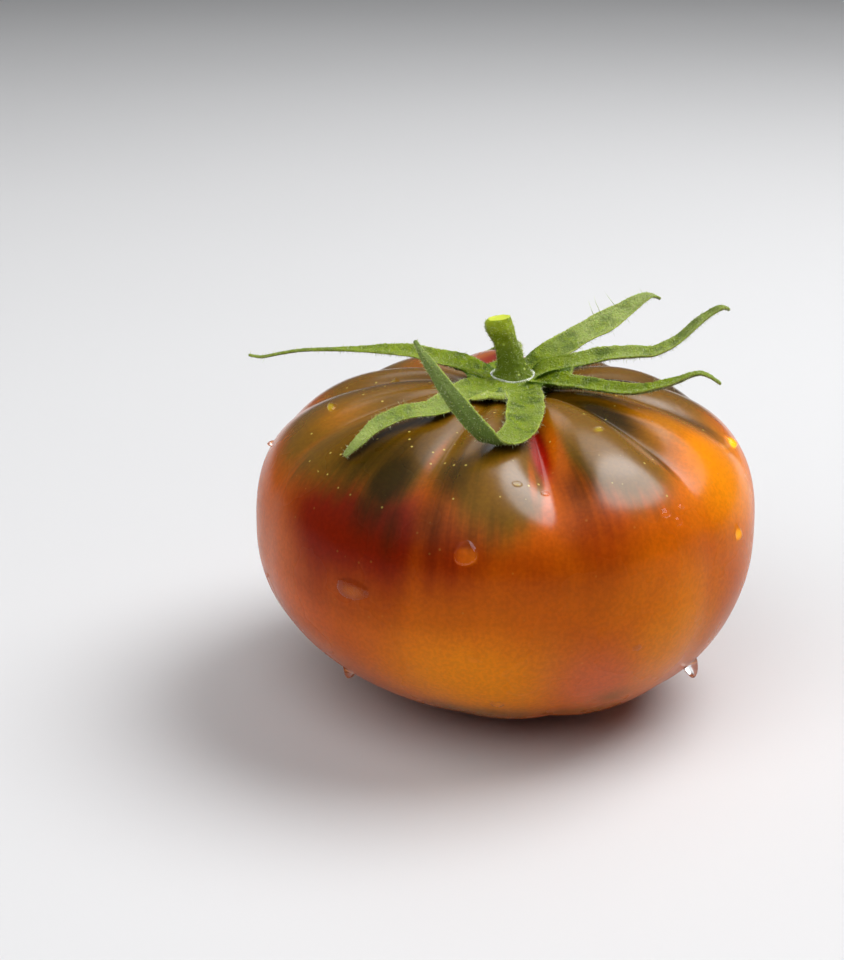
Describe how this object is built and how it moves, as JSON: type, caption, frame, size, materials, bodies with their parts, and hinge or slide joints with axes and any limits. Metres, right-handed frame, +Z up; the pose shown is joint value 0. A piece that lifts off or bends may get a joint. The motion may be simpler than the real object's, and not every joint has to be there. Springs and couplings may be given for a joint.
{
  "type": "tomato",
  "caption": "Ribbed, flattened beefsteak tomato resting on its blossom end, with a green calyx of narrow curling sepals and a short cut stub of stem.",
  "frame": {"origin": "middle of the flat spot on the blossom end that the fruit rests on", "axes": "+Z up through the stem end, -Y towards the front curling sepal, +X to the right as seen from the front"},
  "size_m": [0.0904, 0.0888, 0.071],
  "materials": {
    "skin": "glossy waxy skin, orange to deep red with olive green shoulders, wet in places",
    "calyx": "soft matt green leaf with fine short hairs and paler edges",
    "stem": "olive green stalk with fine pale dots and hairs, paler yellow green at the cut",
    "water": "clear drops of water on the skin"
  },
  "bodies": {
    "root": {"fruit": "skin", "calyx": "calyx", "stem": "stem"}
  },
  "joints": []
}
